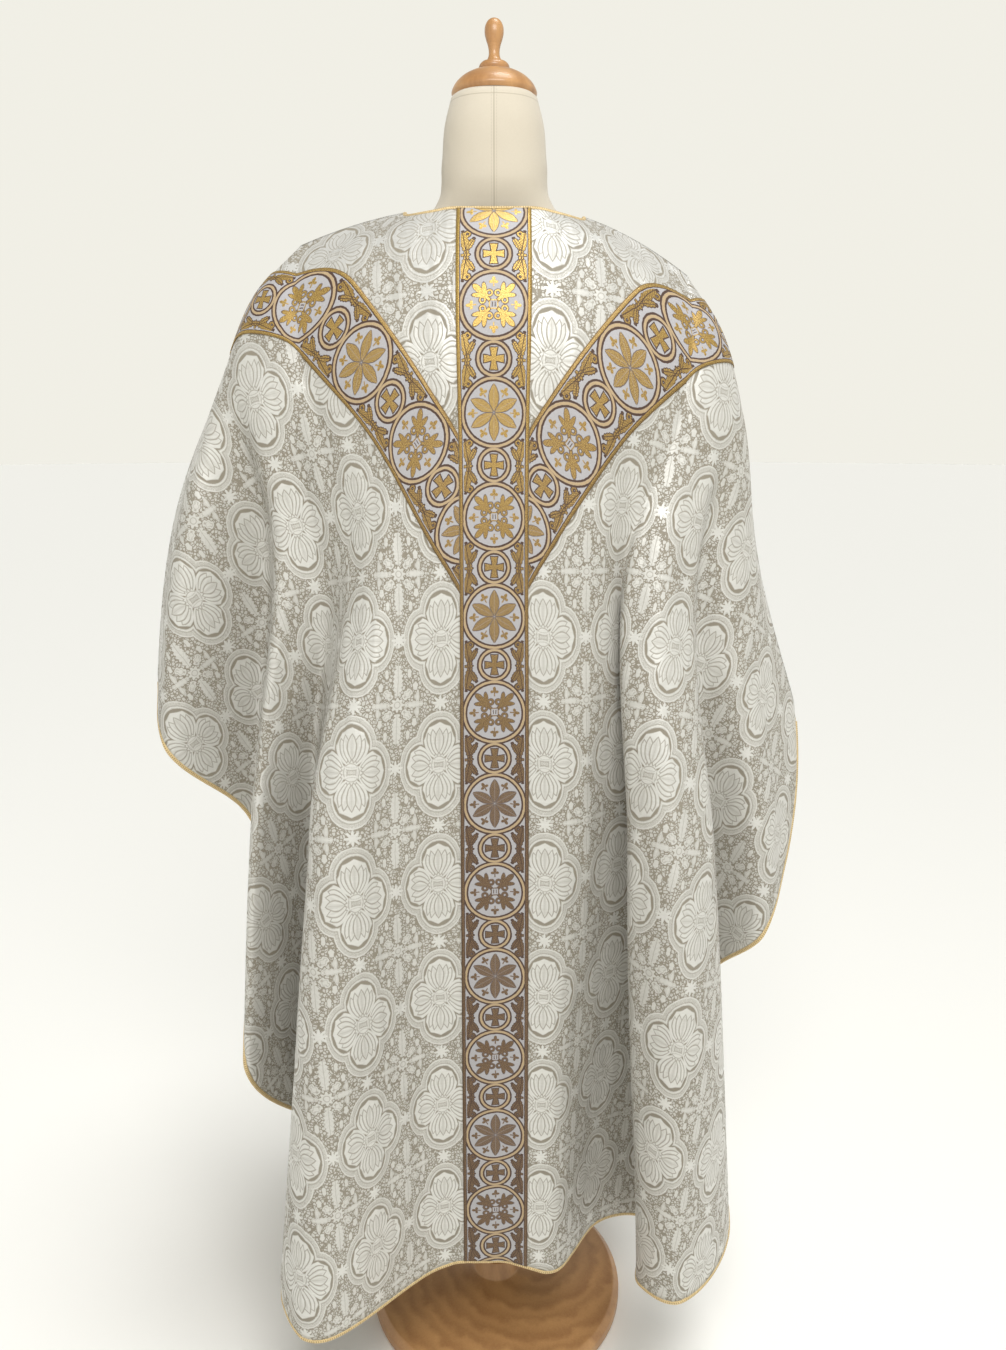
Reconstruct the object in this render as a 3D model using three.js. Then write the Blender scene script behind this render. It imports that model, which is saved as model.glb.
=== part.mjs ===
// Gothic chasuble on a limbless dress form, in millimetres, +Z up, standing on the floor at z = 0.
// The back of the vestment faces -Y, its left-hand wing is at -X. Each cut piece is one closed solid.
import * as THREE from "three";

// ---- driving dimensions ----
const CLOTH_WALL = 1.6; // damask over its interlining
const SEAM_SHIFT = 0.25; // each panel stands this far from the shoulder seam's plane
const SHOULDER_HALF = 228; // centre to shoulder tip, along the shoulder seam
const SEAM_Y = -20; // the shoulder seam lies in this plane
const COLLAR_Z = 1524; // height of the shoulder line beside the neck
const SHOULDER_DROP = { left: 42, right: 75 }; // from the collar down to each shoulder tip
const NECK_HALF = 107;
const BACK_NECK_DEPTH = 78;
const FRONT_NECK_DEPTH = 124;
const FAN_REACH = 760; // turns an angle of the side fan into a width across the panel
const FLARE = { left: 1, right: 0.78 }; // how far each side stands out below its shoulder tip
const ORPHREY_WIDTH = 82;
const ORPHREY_WALL = 1;
const LAY_GAP = 0.3; // between a piece and the panel that it lies on
const PIPING_WIDTH = 5.4;
const PIPING_THICK = 3.2;
const PIPING_GAP = 0.7; // between a piping and the edge that it binds, where the edge bends
const BASE_RADIUS = 185;
const BASE_HEIGHT = 26;
const POLE_RADIUS = 16;
const TORSO_BOTTOM = 760;
const NECK_TOP = 1640;
const FORM_Y = -16; // the dress form's own middle plane

// ---- folds ----
// One row for each fold line from the left wing to the right. `fan` is its angle in degrees about the
// shoulder tip and `strip` its place in mm across the shoulders, both on the flat cloth. `cut` is its
// length from the shoulder seam to the edge. chest, hip and hem say where it hangs, as [x, y].
const ARM_LEFT = { fan: -62, cut: 588, chest: [-402, 6], hip: [-466, 18], hem: [-520, 30] };
const ARM_RIGHT = { fan: 43, cut: 566, chest: [336, 6], hip: [436, 18], hem: [446, 30] };
const BACK_FOLDS = [
  ARM_LEFT,
  { fan: -51, cut: 640, chest: [-372, -62], hip: [-425, -78], hem: [-470, -90] },
  { fan: -36, cut: 790, chest: [-288, -28], hip: [-318, -8], hem: [-340, 10] },
  { fan: -24, cut: 1050, chest: [-258, -86], hip: [-292, -132], hem: [-338, -150] },
  { fan: -16, cut: 1210, chest: [-216, -84], hip: [-238, -60], hem: [-256, -40] },
  { fan: -4, cut: 1328, chest: [-170, -118], hip: [-205, -210], hem: [-266, -252] },
  { strip: -190, cut: 1356, chest: [-146, -136], hip: [-168, -216], hem: [-205, -292] },
  { strip: -NECK_HALF, cut: 1392, chest: [-97, -149], hip: [-104, -176], hem: [-111, -198] },
  { strip: -92, cut: 1398, chest: [-85, -151], hip: [-90, -169], hem: [-95, -183] },
  { strip: 0, cut: 1408, chest: [0, -153], hip: [0, -160], hem: [0, -168] },
  { strip: 92, cut: 1406, chest: [85, -149], hip: [90, -154], hem: [92, -152] },
  { strip: NECK_HALF, cut: 1396, chest: [98, -147], hip: [104, -149], hem: [105, -134] },
  { strip: 140, cut: 1366, chest: [124, -138], hip: [134, -128], hem: [139, -92] },
  { strip: 195, cut: 1345, chest: [151, -110], hip: [180, -94], hem: [212, -60] },
  { fan: 4, cut: 1314, chest: [168, -118], hip: [167, -172], hem: [190, -190] },
  { fan: 8, cut: 1300, chest: [198, -124], hip: [212, -208], hem: [236, -234] },
  { fan: 13, cut: 1268, chest: [231, -106], hip: [262, -164], hem: [317, -148] },
  { fan: 21, cut: 950, chest: [250, -66], hip: [270, -62], hem: [292, -30] },
  { fan: 28, cut: 836, chest: [286, -62], hip: [336, -96], hem: [360, -110] },
  { fan: 35, cut: 758, chest: [320, -36], hip: [380, -46], hem: [400, -52] },
  ARM_RIGHT,
];
const FRONT_FOLDS = [
  ARM_LEFT,
  { fan: -50, cut: 650, chest: [-368, 70], hip: [-418, 92], hem: [-450, 110] },
  { fan: -36, cut: 800, chest: [-292, 44], hip: [-312, 30], hem: [-330, 20] },
  { fan: -24, cut: 1060, chest: [-250, 100], hip: [-280, 140], hem: [-320, 160] },
  { fan: -15, cut: 1220, chest: [-212, 98], hip: [-226, 84], hem: [-246, 70] },
  { fan: -5, cut: 1300, chest: [-168, 128], hip: [-196, 196], hem: [-240, 235] },
  { strip: -NECK_HALF, cut: 1336, chest: [-96, 151], hip: [-102, 172], hem: [-108, 190] },
  { strip: -92, cut: 1338, chest: [-84, 152], hip: [-89, 171], hem: [-93, 187] },
  { strip: 0, cut: 1340, chest: [0, 156], hip: [0, 170], hem: [0, 180] },
  { strip: 92, cut: 1338, chest: [84, 152], hip: [89, 170], hem: [93, 184] },
  { strip: NECK_HALF, cut: 1336, chest: [96, 151], hip: [102, 170], hem: [109, 186] },
  { strip: 180, cut: 1322, chest: [150, 128], hip: [168, 120], hem: [180, 104] },
  { fan: 5, cut: 1300, chest: [184, 124], hip: [206, 186], hem: [236, 222] },
  { fan: 16, cut: 1180, chest: [228, 92], hip: [248, 80], hem: [272, 56] },
  { fan: 25, cut: 940, chest: [272, 78], hip: [322, 104], hem: [352, 120] },
  { fan: 34, cut: 780, chest: [308, 44], hip: [380, 62], hem: [400, 70] },
  ARM_RIGHT,
];
const NARROW_FOLD = 70; // fold lines closer than this have one column between them and not two
// Distances down a fold line at which its place is known: seam, shoulder round, blade, chest, hip, hem.
const LEVELS = [0, 80, 180, 350, 700, 1300];

// ---- the drape ----
const radians = THREE.MathUtils.degToRad;

// A smooth curve through rows of numbers at the places `at`, read at `t`.
function smooth(at, rows, t) {
  const last = at.length - 1;
  const x = Math.min(Math.max(t, at[0]), at[last]);
  let i = 0;
  while (i < last - 1 && x > at[i + 1]) i++;
  const step = at[i + 1] - at[i];
  const slope = (k, c) => (rows[k + 1][c] - rows[k][c]) / (at[k + 1] - at[k]);
  const tangent = (k, c) => {
    if (k === 0) return slope(0, c);
    if (k === last) return slope(last - 1, c);
    const before = at[k] - at[k - 1];
    const after = at[k + 1] - at[k];
    return (slope(k - 1, c) * after + slope(k, c) * before) / (before + after);
  };
  const s = (x - at[i]) / step;
  const s2 = s * s;
  const s3 = s2 * s;
  return rows[i].map(
    (value, c) =>
      (2 * s3 - 3 * s2 + 1) * value +
      (s3 - 2 * s2 + s) * step * tangent(i, c) +
      (3 * s2 - 2 * s3) * rows[i + 1][c] +
      (s3 - s2) * step * tangent(i + 1, c),
  );
}

// The place of a fold line across its panel, in mm from the centre.
const across = (fold) =>
  "strip" in fold
    ? fold.strip
    : Math.sign(fold.fan) * (SHOULDER_HALF + radians(Math.abs(fold.fan)) * FAN_REACH);

// Height of the shoulder seam over a place across the panel.
function seamHeight(a) {
  const beyond = Math.max(Math.min(Math.abs(a), SHOULDER_HALF) - 40, 0) / (SHOULDER_HALF - 40);
  return COLLAR_Z - (a < 0 ? SHOULDER_DROP.left : SHOULDER_DROP.right) * beyond ** 1.8;
}

// [x, y] at the first three levels, where the cloth lies over the shoulder. side is -1 back, 1 front.
function overShoulder(a, reach, side) {
  const hand = a < 0 ? -1 : 1;
  const flare = a < 0 ? FLARE.left : FLARE.right;
  if (Math.abs(a) <= SHOULDER_HALF) {
    const k = (a / SHOULDER_HALF) ** 2;
    return [
      [a, SEAM_Y],
      [a, SEAM_Y + side * (76 - 26 * k)],
      [a * (1 - 0.06 * k), SEAM_Y + side * (122 - 48 * k)],
    ];
  }
  const turn = ((Math.abs(a) - SHOULDER_HALF) / (reach - SHOULDER_HALF)) * (Math.PI / 2);
  return [
    [hand * SHOULDER_HALF, SEAM_Y],
    [hand * (SHOULDER_HALF + 56 * flare * Math.sin(turn)), SEAM_Y + side * 50 * Math.cos(turn)],
    [
      hand * (0.94 * SHOULDER_HALF + 113 * flare * Math.sin(turn)),
      SEAM_Y + side * 74 * Math.cos(turn),
    ],
  ];
}

// The flat cloth's own coordinates of a point t down the line at a: upright strips between the
// shoulder tips, and fans about each tip beyond them.
function flatPlace(a, t) {
  if (Math.abs(a) <= SHOULDER_HALF) return [a, -t];
  const angle = (Math.abs(a) - SHOULDER_HALF) / FAN_REACH;
  return [Math.sign(a) * (SHOULDER_HALF + t * Math.sin(angle)), -t * Math.cos(angle)];
}

// One hanging panel as a grid of points, outward normals and flat places, columns by rows. Each fold
// line keeps its true length: the height falls by what its sideways run leaves over.
function hangPanel(folds, side, neckDepth, rowCount) {
  const keys = folds.map(across);
  const cuts = folds.map((f) => [f.cut, ...f.chest, ...f.hip, ...f.hem]);
  const places = [];
  for (let i = 0; i < keys.length - 1; i++) {
    const width = keys[i + 1] - keys[i];
    const count = width < NARROW_FOLD ? 2 : 3;
    for (let k = 0; k < count; k++) places.push(keys[i] + (width * k) / count);
  }
  places.push(keys[keys.length - 1]);

  const STEPS = 200;
  const columns = places.map((a) => {
    const [cut, cx, cy, hx, hy, ex, ey] = smooth(keys, cuts, a);
    const reach = Math.abs(a < 0 ? keys[0] : keys[keys.length - 1]);
    const route = [...overShoulder(a, reach, side), [cx, cy], [hx, hy], [ex, ey]];
    const line = [new THREE.Vector3(...smooth(LEVELS, route, 0), seamHeight(a))];
    const step = cut / STEPS;
    for (let i = 1; i <= STEPS; i++) {
      const [x, y] = smooth(LEVELS, route, i * step);
      const before = line[i - 1];
      const left = step ** 2 - (x - before.x) ** 2 - (y - before.y) ** 2;
      line.push(new THREE.Vector3(x, y, before.z - Math.sqrt(Math.max(left, 0))));
    }
    const inNeck = Math.abs(a) < NECK_HALF;
    const start = inNeck ? neckDepth * Math.sqrt(1 - (a / NECK_HALF) ** 2) : 0;
    return Array.from({ length: rowCount + 1 }, (_, j) => {
      const t = start + (cut - start) * (j / rowCount) ** 1.45;
      const place = t / step;
      const k = Math.min(Math.floor(place), STEPS - 1);
      const point = line[k].clone().lerp(line[k + 1], place - k);
      point.y += side * SEAM_SHIFT;
      return { point, flat: flatPlace(a, t), atSeam: !inNeck && j === 0 };
    });
  });

  const last = columns.length - 1;
  columns.forEach((column, i) =>
    column.forEach((spot, j) => {
      const run = columns[Math.min(i + 1, last)][j].point
        .clone()
        .sub(columns[Math.max(i - 1, 0)][j].point);
      const fall = column[Math.min(j + 1, rowCount)].point.clone().sub(column[Math.max(j - 1, 0)].point);
      spot.normal = fall.cross(run).multiplyScalar(-side);
      if (spot.atSeam || i === 0 || i === last) {
        spot.normal.y = 0; // both panels meet squarely along their seam
        const hand = i < last / 2 ? -1 : 1;
        if (Math.abs(places[i]) >= SHOULDER_HALF && j === 0) spot.normal.set(hand * 0.5, 0, 0.87);
      }
      spot.normal.normalize();
    }),
  );
  return columns;
}

// ---- solids ----
// A closed mesh from numbered corners: degenerate faces are left out and shared corners are merged.
function closedMesh(name, corners, faces, material) {
  const known = new Map();
  const kept = [];
  const number = corners.map((p) => {
    const key = [p.x, p.y, p.z].map((v) => Math.round(v * 1e3)).join();
    if (!known.has(key)) {
      known.set(key, kept.length / 3);
      kept.push(p.x, p.y, p.z);
    }
    return known.get(key);
  });
  const index = faces
    .map((face) => face.map((k) => number[k]))
    .filter(([a, b, c]) => a !== b && b !== c && c !== a)
    .flat();
  const geometry = new THREE.BufferGeometry();
  geometry.setAttribute("position", new THREE.Float32BufferAttribute(kept, 3));
  geometry.setIndex(index);
  geometry.computeVertexNormals();
  const mesh = new THREE.Mesh(geometry, material);
  mesh.name = name;
  return mesh;
}

// Gives a triangulated sheet its wall. spots hold a point and a normal; `low` and `high` are measured
// along the normal, and the faces turn round it from the high side.
function thicken(name, spots, faces, low, high, material) {
  const raised = (by) => spots.map((s) => s.point.clone().addScaledVector(s.normal, by));
  const count = spots.length;
  const edges = new Map();
  for (const [a, b, c] of faces)
    for (const [p, q] of [
      [a, b],
      [b, c],
      [c, a],
    ])
      edges.set(p + "," + q, [p, q]);
  const walls = [...edges.values()]
    .filter(([p, q]) => !edges.has(q + "," + p))
    .flatMap(([p, q]) => [
      [q, p, p + count],
      [q, p + count, q + count],
    ]);
  const under = faces.map(([a, b, c]) => [a + count, c + count, b + count]);
  return closedMesh(name, [...raised(high), ...raised(low)], [...faces, ...under, ...walls], material);
}

// The panel's triangles as corner triples, turned to face out.
function panelFaces(columns, side) {
  const rows = columns[0].length;
  const faces = [];
  for (let i = 0; i < columns.length - 1; i++)
    for (let j = 0; j < rows - 1; j++) {
      const [a, b, c, d] = [i * rows + j, (i + 1) * rows + j, (i + 1) * rows + j + 1, i * rows + j + 1];
      faces.push([a, c, b], [a, d, c]);
    }
  const turned = side > 0 ? faces.map(([a, b, c]) => [a, c, b]) : faces;
  const known = new Map(); // the points of a shoulder tip are one corner
  const spots = columns.flat();
  const number = spots.map((s, k) => {
    const key = [s.point.x, s.point.y, s.point.z].map((v) => Math.round(v * 1e3)).join();
    if (!known.has(key)) known.set(key, k);
    return known.get(key);
  });
  const merged = turned
    .map((face) => face.map((k) => number[k]))
    .filter(([a, b, c]) => a !== b && b !== c && c !== a);
  return { spots, faces: merged };
}

// Cuts a panel's triangles on the flat cloth to the side of each line where distance(u, v) >= 0, so
// that a band sewn on the panel follows every facet of it.
function cutBand(panel, distances) {
  const spots = [];
  const known = new Map();
  const add = (spot) => {
    const key = [spot.point.x, spot.point.y, spot.point.z].map((v) => Math.round(v * 100)).join();
    if (!known.has(key)) {
      known.set(key, spots.length);
      spots.push(spot);
    }
    return known.get(key);
  };
  const between = (p, q, s) => ({
    point: p.point.clone().lerp(q.point, s),
    normal: p.normal.clone().lerp(q.normal, s).normalize(),
    flat: [p.flat[0] + (q.flat[0] - p.flat[0]) * s, p.flat[1] + (q.flat[1] - p.flat[1]) * s],
  });
  const faces = [];
  for (const face of panel.faces) {
    let ring = face.map((k) => panel.spots[k]);
    for (const distance of distances) {
      const next = [];
      ring.forEach((spot, k) => {
        const after = ring[(k + 1) % ring.length];
        const here = distance(...spot.flat);
        const there = distance(...after.flat);
        if (here >= 0) next.push(spot);
        if (here >= 0 !== there >= 0) next.push(between(spot, after, here / (here - there)));
      });
      ring = next;
    }
    const corners = ring.map(add).filter((k, i, all) => k !== all[(i + 1) % all.length]);
    for (let k = 1; k < corners.length - 1; k++) faces.push([corners[0], corners[k], corners[k + 1]]);
  }
  return { spots, faces };
}

// A flat six-sided tube through points, with its width along `wide` and its thickness along `thick`.
function binding(name, route, closed, material) {
  const SIDES = 6;
  const corners = [];
  for (const { centre, wide, thick } of route)
    for (let k = 0; k < SIDES; k++) {
      const turn = (k / SIDES) * 2 * Math.PI;
      corners.push(
        centre
          .clone()
          .addScaledVector(wide, (Math.cos(turn) * PIPING_WIDTH) / 2)
          .addScaledVector(thick, (Math.sin(turn) * PIPING_THICK) / 2),
      );
    }
  const faces = [];
  const rings = closed ? route.length : route.length - 1;
  for (let i = 0; i < rings; i++)
    for (let k = 0; k < SIDES; k++) {
      const m = (k + 1) % SIDES;
      const [p, q] = [i * SIDES, ((i + 1) % route.length) * SIDES];
      faces.push([p + k, p + m, q + m], [p + k, q + m, q + k]);
    }
  if (!closed)
    for (let k = 1; k < SIDES - 1; k++) {
      const end = (route.length - 1) * SIDES;
      faces.push([0, k + 1, k], [end, end + k, end + k + 1]);
    }
  return closedMesh(name, corners, faces, material);
}

// Stations of a binding along an edge of spots: it sits beyond the edge, in the cloth's own plane.
function alongEdge(spots, closed, outwardSign) {
  const total = spots.length;
  return spots.map((spot, i) => {
    const before = closed ? spots[(i + total - 1) % total] : spots[Math.max(i - 1, 0)];
    const after = closed ? spots[(i + 1) % total] : spots[Math.min(i + 1, total - 1)];
    const run = after.point.clone().sub(before.point).normalize();
    const wide = run.clone().cross(spot.normal).normalize().multiplyScalar(outwardSign);
    const thick = run.clone().cross(wide).normalize();
    const centre = spot.point.clone().addScaledVector(wide, PIPING_WIDTH / 2 + PIPING_GAP);
    return { centre, wide, thick };
  });
}

// ---- materials ----
const damask = new THREE.MeshStandardMaterial({ color: 0xe2ddcf, roughness: 0.5, side: THREE.DoubleSide });
const galloon = new THREE.MeshStandardMaterial({ color: 0xb58f55, roughness: 0.45, metalness: 0.3 });
const goldPiping = new THREE.MeshStandardMaterial({ color: 0xc2a56e, roughness: 0.5, metalness: 0.2 });
const jersey = new THREE.MeshStandardMaterial({ color: 0xe9e6df, roughness: 0.9 });
const turnedWood = new THREE.MeshStandardMaterial({ color: 0xb8834e, roughness: 0.4 });

const chasuble = new THREE.Group();
const dressForm = new THREE.Group();
const upright = new THREE.Group();
upright.position.y = -FORM_Y; // the part's origin is under the middle of the stand
upright.add(chasuble, dressForm);
const part = new THREE.Group();
part.add(upright);

// ---- front and back panels, with the galloon bands laid on them ----
// Each arm runs on the flat cloth from the column to the shoulder, where it turns towards the seam.
// Points of its middle line are [mm across, mm below the seam].
const BACK_ARMS = {
  left: { foot: [-41, 418], knee: [-206, 104], head: [-290, 66] },
  right: { foot: [41, 414], knee: [206, 100], head: [270, 66] },
};
const FRONT_ARMS = {
  left: { foot: [-41, 430], knee: [-206, 104], head: [-290, 66] },
  right: { foot: [41, 430], knee: [206, 100], head: [270, 66] },
};
const ARM_REACH = 640; // no arm lies lower than this

// Distances that are positive inside an arm's band: its upper edge beside each stretch, its lower
// edge, the column's side, and its lower limit.
function bandLines({ foot, knee, head }) {
  const hand = Math.sign(foot[0]);
  const inside = ORPHREY_WIDTH / 2;
  const offset = (from, to) => {
    const run = [to[0] - from[0], from[1] - to[1]];
    const length = Math.hypot(...run);
    return (u, v) => (hand * (run[1] * (u - from[0]) - run[0] * (v + from[1]))) / length;
  };
  const lower = offset(foot, knee);
  const upper = offset(knee, head);
  return [
    (u, v) => inside + lower(u, v),
    (u, v) => inside + upper(u, v),
    (u, v) => inside - Math.min(lower(u, v), upper(u, v)),
    (u) => hand * u - inside - LAY_GAP,
    (u, v) => v + ARM_REACH,
  ];
}

function makePanel(name, folds, side, neckDepth, arms, rowCount) {
  const columns = hangPanel(folds, side, neckDepth, rowCount);
  const panel = panelFaces(columns, side);
  const half = CLOTH_WALL / 2;
  chasuble.add(thicken(name + "_panel", panel.spots, panel.faces, -half, half, damask));
  const low = half + LAY_GAP;
  const high = low + ORPHREY_WALL;
  const column = cutBand(panel, [(u) => ORPHREY_WIDTH / 2 - u, (u) => ORPHREY_WIDTH / 2 + u]);
  chasuble.add(thicken(name + "_orphrey_column", column.spots, column.faces, low, high, galloon));
  for (const [hand, arm] of Object.entries(arms)) {
    const band = cutBand(panel, bandLines(arm));
    const node = `${name}_orphrey_arm_${hand}`;
    chasuble.add(thicken(node, band.spots, band.faces, low, high, galloon));
  }
  // The outer edge's piping stops short of the seams at the wing tips.
  const edge = columns.map((column) => column[rowCount]);
  const TIP_TRIM = 0.5; // share of the last stretch beside the seam
  const tip = (inner, outer) => ({
    point: outer.point.clone().lerp(inner.point, TIP_TRIM),
    normal: outer.normal.clone().lerp(inner.normal, TIP_TRIM).normalize(),
  });
  const last = edge.length - 1;
  const trimmed = [tip(edge[1], edge[0]), ...edge.slice(1, last), tip(edge[last - 1], edge[last])];
  chasuble.add(binding(name + "_edge_piping", alongEdge(trimmed, false, -side), false, goldPiping));
  const neck = columns.filter((column) => Math.abs(column[0].flat[0]) <= NECK_HALF);
  return neck.map((column) => column[0]);
}

const backNeck = makePanel("back", BACK_FOLDS, -1, BACK_NECK_DEPTH, BACK_ARMS, 20);
const frontNeck = makePanel("front", FRONT_FOLDS, 1, FRONT_NECK_DEPTH, FRONT_ARMS, 16);

// ---- neckline piping: one closed ring round both panels' neck edges ----
const neckRing = [...backNeck, ...frontNeck.slice(1, -1).reverse()];
chasuble.add(binding("neck_piping", alongEdge(neckRing, true, -1), true, goldPiping));

// ---- dress form ----
// Sections of the padded torso and neck, bottom to top: half width, and depth behind and before FORM_Y.
const TORSO_SECTIONS = [
  { z: TORSO_BOTTOM, half: 158, back: 96, front: 100 },
  { z: 800, half: 168, back: 104, front: 108 },
  { z: 890, half: 164, back: 102, front: 106 },
  { z: 1010, half: 132, back: 80, front: 94 },
  { z: 1130, half: 142, back: 86, front: 108 },
  { z: 1250, half: 162, back: 94, front: 122 },
  { z: 1340, half: 178, back: 92, front: 112 },
  { z: 1400, half: 190, back: 82, front: 92 },
  { z: 1436, half: 198, back: 64, front: 66 },
  { z: 1455, half: 194, back: 54, front: 48 },
  { z: 1469.4, half: 177, back: 50, front: 44 },
  { z: 1484.2, half: 150, back: 50, front: 44 },
  { z: 1497.6, half: 119, back: 52, front: 46 },
  { z: 1510, half: 88, back: 55, front: 50 },
  { z: 1530, half: 68, back: 58, front: 57 },
  { z: 1570, half: 61, back: 58, front: 56 },
  { z: 1610, half: 57, back: 56, front: 54 },
  { z: NECK_TOP, half: 49, back: 49, front: 49 },
];
const TORSO_SIDES = 36;
const TORSO_ROUNDNESS = 2.3; // 2 is an ellipse

function superellipseRing({ z, half, back, front }) {
  return Array.from({ length: TORSO_SIDES }, (_, k) => {
    const turn = (k / TORSO_SIDES) * 2 * Math.PI;
    const c = Math.cos(turn);
    const s = Math.sin(turn);
    const power = 2 / TORSO_ROUNDNESS;
    const depth = s < 0 ? back : front;
    return new THREE.Vector3(
      half * Math.sign(c) * Math.abs(c) ** power,
      FORM_Y + depth * Math.sign(s) * Math.abs(s) ** power,
      z,
    );
  });
}

function loft(name, rings, material) {
  const sides = rings[0].length;
  const corners = rings.flat();
  const faces = [];
  for (let i = 0; i < rings.length - 1; i++)
    for (let k = 0; k < sides; k++) {
      const m = (k + 1) % sides;
      faces.push([i * sides + k, i * sides + m, (i + 1) * sides + m]);
      faces.push([i * sides + k, (i + 1) * sides + m, (i + 1) * sides + k]);
    }
  const top = (rings.length - 1) * sides;
  for (let k = 1; k < sides - 1; k++) {
    faces.push([0, k + 1, k]);
    faces.push([top, top + k, top + k + 1]);
  }
  return closedMesh(name, corners, faces, material);
}
dressForm.add(loft("form_torso", TORSO_SECTIONS.map(superellipseRing), jersey));

// Turned wooden pieces, each a profile of [radius, height] about the form's upright axis.
function turned(name, profile, sides) {
  const points = profile.map(([radius, height]) => new THREE.Vector2(radius, height));
  const mesh = new THREE.Mesh(new THREE.LatheGeometry(points, sides), turnedWood);
  mesh.name = name;
  mesh.rotation.x = Math.PI / 2;
  mesh.position.y = FORM_Y;
  return mesh;
}
const CAP_BOTTOM = NECK_TOP + LAY_GAP;
const CAP_PROFILE = [
  [0, 0],
  [47, 0],
  [49, 4],
  [47, 10],
  [40, 18],
  [28, 25],
  [17, 28.5],
  [0, 28.5],
];
const FINIAL_PROFILE = [
  [0, 0],
  [17, 0],
  [17.5, 3.5],
  [14.5, 7.5],
  [9, 9.5],
  [7, 13],
  [7.4, 26],
  [9.2, 31],
  [10.8, 38],
  [10.2, 45],
  [7, 50.5],
  [3, 52.8],
  [0, 53],
];
const POLE_BOTTOM = 64;
const BASE_PROFILE = [
  [0, 0],
  [BASE_RADIUS - 3, 0],
  [BASE_RADIUS, 4],
  [BASE_RADIUS, 18],
  [BASE_RADIUS - 8, BASE_HEIGHT],
  [60, BASE_HEIGHT + 4],
  [34, 40],
  [27, POLE_BOTTOM - LAY_GAP],
  [0, POLE_BOTTOM - LAY_GAP],
];
const lifted = (profile, by) => profile.map(([radius, height]) => [radius, height + by]);
const CAP_HEIGHT = 28.5;
dressForm.add(turned("neck_cap", lifted(CAP_PROFILE, CAP_BOTTOM), 24));
dressForm.add(turned("finial", lifted(FINIAL_PROFILE, CAP_BOTTOM + CAP_HEIGHT + LAY_GAP), 14));
dressForm.add(turned("base", BASE_PROFILE, 36));
const poleTop = TORSO_BOTTOM - LAY_GAP;
const POLE_PROFILE = [
  [0, POLE_BOTTOM],
  [POLE_RADIUS, POLE_BOTTOM],
  [POLE_RADIUS, poleTop - 12],
  [POLE_RADIUS + 12, poleTop - 6],
  [POLE_RADIUS + 12, poleTop],
  [0, poleTop],
];
dressForm.add(turned("pole", POLE_PROFILE, 24));

export default part;
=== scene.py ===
from functools import partialmethod
from math import acos, copysign, cos, pi, radians, sin, tan

import bmesh
import bpy
import numpy as np
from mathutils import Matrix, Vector


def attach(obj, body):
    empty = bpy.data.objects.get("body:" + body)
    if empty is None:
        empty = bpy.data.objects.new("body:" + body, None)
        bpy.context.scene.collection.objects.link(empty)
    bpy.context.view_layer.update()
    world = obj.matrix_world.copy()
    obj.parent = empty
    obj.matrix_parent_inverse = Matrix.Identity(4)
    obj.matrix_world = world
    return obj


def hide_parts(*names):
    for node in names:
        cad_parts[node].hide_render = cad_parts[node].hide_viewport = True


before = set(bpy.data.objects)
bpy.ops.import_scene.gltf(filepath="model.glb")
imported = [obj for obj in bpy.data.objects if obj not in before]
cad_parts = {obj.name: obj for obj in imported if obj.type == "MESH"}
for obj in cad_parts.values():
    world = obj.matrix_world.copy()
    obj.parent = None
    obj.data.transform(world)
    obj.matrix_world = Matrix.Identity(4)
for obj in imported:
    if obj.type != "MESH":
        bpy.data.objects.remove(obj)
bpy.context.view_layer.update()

bpy.ops.object.select_all(action="DESELECT")


# ---- The cloth, back and front ----
# Two wide panels of ivory figured damask, sewn along the shoulders and left open below. They hang
# from the form's shoulders in deep uneven folds: the wings fan out about each shoulder tip, and the
# middle falls almost flat below the neckline.
MM = 0.001
WALL = 0.0016
SHOULDER_HALF = 228
NECK_HALF = 107
BACK_NECK, FRONT_NECK = 78, 124  # how far the neckline dips below the shoulder seam
FAN_REACH = 760  # turns an angle of the fan into a width across the panel
SEAM_Y = -4  # the plane of the shoulder seams
COLLAR_Z = 1524
SHOULDER_DROP = (42, 75)  # left and right
LEVEL_TOP = 40  # the shoulder line stays level this far from the middle
FLARE = (1, 0.78)  # how far each wing stands out


def fan(angle):
    """A fold line's place across the panel, from its angle in degrees about the shoulder tip."""
    return copysign(SHOULDER_HALF + radians(abs(angle)) * FAN_REACH, angle)


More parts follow.
